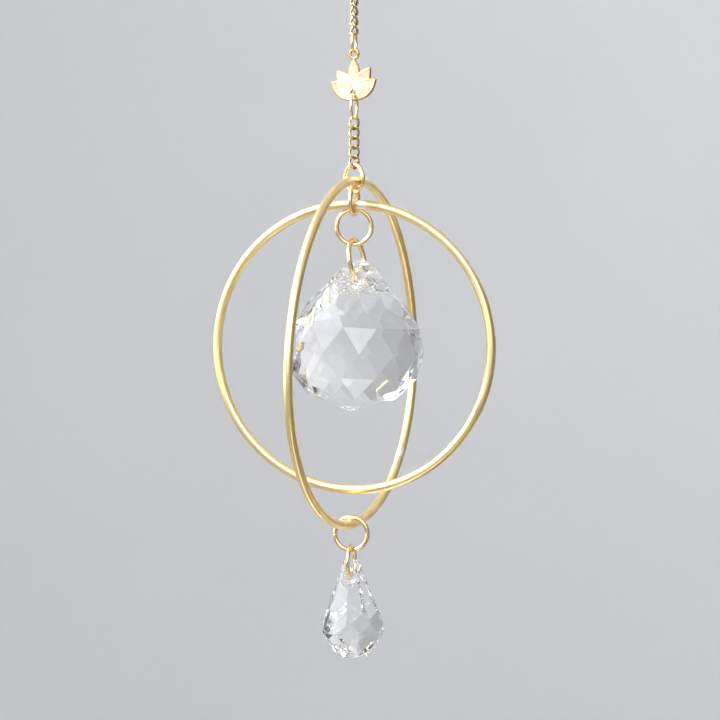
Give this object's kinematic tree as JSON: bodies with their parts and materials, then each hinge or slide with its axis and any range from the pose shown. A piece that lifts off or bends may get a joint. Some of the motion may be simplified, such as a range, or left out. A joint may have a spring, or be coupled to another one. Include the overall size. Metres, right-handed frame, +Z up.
{
  "type": "crystal suncatcher",
  "caption": "Hanging suncatcher with two nested brass wire hoops around a cut glass ball, a cut glass drop below, and a lotus charm on a curb chain above.",
  "frame": {"origin": "inner top of the hanging ring, where a hook bears", "axes": "+Z up along the hanging line, +X across the small hoop, +Y nearly across the large hoop"},
  "size_m": [0.0636, 0.076, 0.158],
  "materials": {
    "satin_brass": "raw brass wire with a satin drawn finish, lightly warm",
    "polished_gold": "gold plated wire and cast charm, brighter and warmer than the hoops",
    "cut_crystal": "clear cut glass with polished flat facets"
  },
  "bodies": {
    "root": {"hanging_ring": "polished_gold", "upper_chain_link_1": "polished_gold", "upper_chain_link_2": "polished_gold", "upper_chain_link_3": "polished_gold", "upper_chain_link_4": "polished_gold", "upper_chain_link_5": "polished_gold", "upper_chain_link_6": "polished_gold", "upper_connector_ring": "polished_gold", "lotus_charm": "polished_gold", "lower_connector_ring": "polished_gold", "lower_chain_link_1": "polished_gold", "lower_chain_link_2": "polished_gold", "lower_chain_link_3": "polished_gold", "lower_chain_link_4": "polished_gold", "lower_chain_link_5": "polished_gold", "main_jump_ring": "polished_gold", "large_hoop": "satin_brass", "inner_jump_ring": "polished_gold", "small_hoop": "satin_brass", "ball_upper_ring": "polished_gold", "ball_jump_ring": "polished_gold", "crystal_ball": "cut_crystal", "drop_upper_ring": "polished_gold", "drop_jump_ring": "polished_gold", "crystal_drop": "cut_crystal"}
  },
  "joints": []
}
